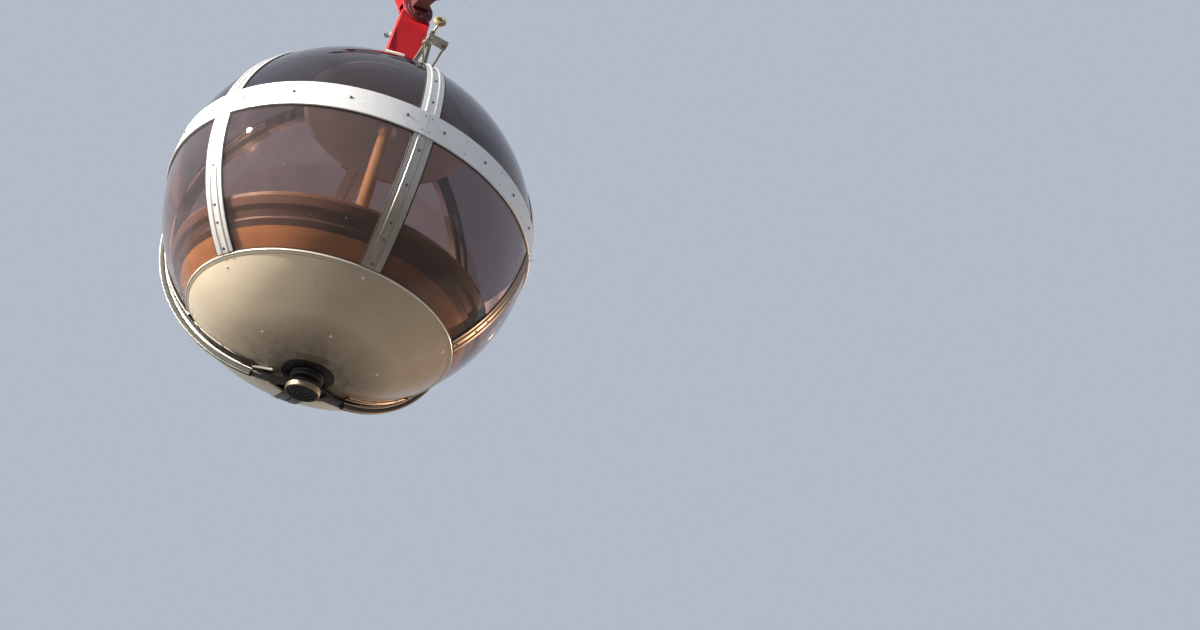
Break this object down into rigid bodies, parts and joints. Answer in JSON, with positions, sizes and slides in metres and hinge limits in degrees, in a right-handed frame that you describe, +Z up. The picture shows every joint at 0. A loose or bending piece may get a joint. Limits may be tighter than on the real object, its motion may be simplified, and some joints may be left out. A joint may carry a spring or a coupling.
{
  "type": "ball-shaped cable car cabin",
  "caption": "Ball-shaped cable car cabin with smoked panes in aluminium ribs, a domed floor pan, turning door leaves, a jointed red hanger and a wheeled rope carriage.",
  "frame": {"origin": "on the track rope's axis, midway between the two trucks, where the perpendicular from the hanger pivot meets the rope", "axes": "+Z up, +X level towards the uphill end of the ropes, which climb 24 degrees towards +X, +Y the doorway side"},
  "size_m": [2.3114, 2.253, 4.8914],
  "materials": {
    "red_paint": "gloss",
    "black_steel": "satin",
    "bare_steel": "satin",
    "grip_paint": "satin",
    "zinc": "satin",
    "wheel_rim": "worn",
    "wheel_liner": "matte",
    "aluminium_trim": "satin",
    "smoked_glass": "polished",
    "beige_shell": "satin",
    "bench_shell": "satin",
    "floor_sheet": "matte",
    "grey_lining": "matte",
    "pole_coat": "satin"
  },
  "bodies": {
    "carriage": {"head_beam": "red_paint", "upper_arm": "red_paint", "truck_pins": "bare_steel", "pivot_pin": "bare_steel", "grip_body": "grip_paint", "grip_jaw": "bare_steel", "grip_spring": "zinc"},
    "truck_lower": {"truck_lower_frame": "black_steel", "truck_lower_cover": "red_paint"},
    "truck_upper": {"truck_upper_frame": "black_steel", "truck_upper_cover": "red_paint"},
    "wheel_1": {"wheel_1": "wheel_rim", "liner_1": "wheel_liner"},
    "wheel_2": {"wheel_2": "wheel_rim", "liner_2": "wheel_liner"},
    "wheel_3": {"wheel_3": "wheel_rim", "liner_3": "wheel_liner"},
    "wheel_4": {"wheel_4": "wheel_rim", "liner_4": "wheel_liner"},
    "cabin": {"lower_arm": "red_paint", "hanger_foot": "red_paint", "foot_dome": "red_paint", "roof_cap": "aluminium_trim", "equator_band": "aluminium_trim", "upper_ribs": "aluminium_trim", "lower_ribs": "aluminium_trim", "doorway_rails": "aluminium_trim", "upper_glass": "smoked_glass", "lower_glass": "smoked_glass", "floor_pan": "beige_shell", "pan_rim": "aluminium_trim", "hub_disc": "black_steel", "hub_pin": "black_steel", "cabin_floor": "floor_sheet", "bench": "bench_shell", "ceiling": "grey_lining", "grab_pole": "pole_coat", "door_lever": "bare_steel", "box_lever": "bare_steel"},
    "door_a": {"door_a_frame": "aluminium_trim", "door_a_glass": "smoked_glass", "door_a_panel": "beige_shell"},
    "door_b": {"door_b_frame": "aluminium_trim", "door_b_glass": "smoked_glass", "door_b_panel": "beige_shell"}
  },
  "joints": [
    {"name": "cabin_swing", "type": "hinge", "parent": "carriage", "child": "cabin", "pos_m": [0.30505, 0.308, -0.68516], "axis": [0, 1, 0], "range_deg": [-24, 20]},
    {"name": "truck_lower_rock", "type": "hinge", "parent": "carriage", "child": "truck_lower", "pos_m": [-0.48742, 0, -0.07307], "axis": [0, 1, 0], "range_deg": [-10, 10]},
    {"name": "truck_upper_rock", "type": "hinge", "parent": "carriage", "child": "truck_upper", "pos_m": [0.38045, 0, 0.31333], "axis": [0, 1, 0], "range_deg": [-10, 10]},
    {"name": "wheel_1_spin", "type": "hinge", "parent": "truck_lower", "child": "wheel_1", "pos_m": [-0.76148, 0, -0.19509], "axis": [0, 1, 0], "continuous": true},
    {"name": "wheel_2_spin", "type": "hinge", "parent": "truck_lower", "child": "wheel_2", "pos_m": [-0.21336, 0, 0.04895], "axis": [0, 1, 0], "continuous": true},
    {"name": "wheel_3_spin", "type": "hinge", "parent": "truck_upper", "child": "wheel_3", "pos_m": [0.10638, 0, 0.19131], "axis": [0, 1, 0], "continuous": true},
    {"name": "wheel_4_spin", "type": "hinge", "parent": "truck_upper", "child": "wheel_4", "pos_m": [0.65451, 0, 0.43535], "axis": [0, 1, 0], "continuous": true},
    {"name": "door_a_swing", "type": "hinge", "parent": "cabin", "child": "door_a", "pos_m": [0.30505, 0, -3.11516], "axis": [0, 0, 1], "range_deg": [-58, 0]},
    {"name": "door_b_swing", "type": "hinge", "parent": "cabin", "child": "door_b", "pos_m": [0.30505, 0, -3.11516], "axis": [0, 0, 1], "range_deg": [0, 58]}
  ],
  "couplings": [
    {"joint": "door_b_swing", "follows": "door_a_swing", "ratio": -1}
  ]
}
